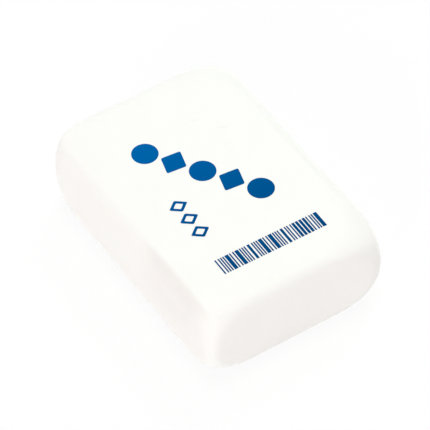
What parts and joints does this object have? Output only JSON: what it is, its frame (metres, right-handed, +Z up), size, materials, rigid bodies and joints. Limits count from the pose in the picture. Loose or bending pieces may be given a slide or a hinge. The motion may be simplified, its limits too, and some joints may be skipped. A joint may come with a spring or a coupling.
{
  "type": "rubber eraser",
  "caption": "White rubber block eraser with softly rolled edges and blunt corners, for rubbing out pencil marks.",
  "frame": {"origin": "middle of the flat base", "axes": "+X along the length, +Y across the width, +Z up out of the printed face"},
  "size_m": [0.041, 0.028, 0.013],
  "materials": {
    "white_rubber": "soft matt white rubber with a fine tumbled surface",
    "blue_ink": "thin matt blue ink, printed on the top face"
  },
  "bodies": {
    "root": {"eraser_block": "white_rubber"}
  },
  "joints": []
}
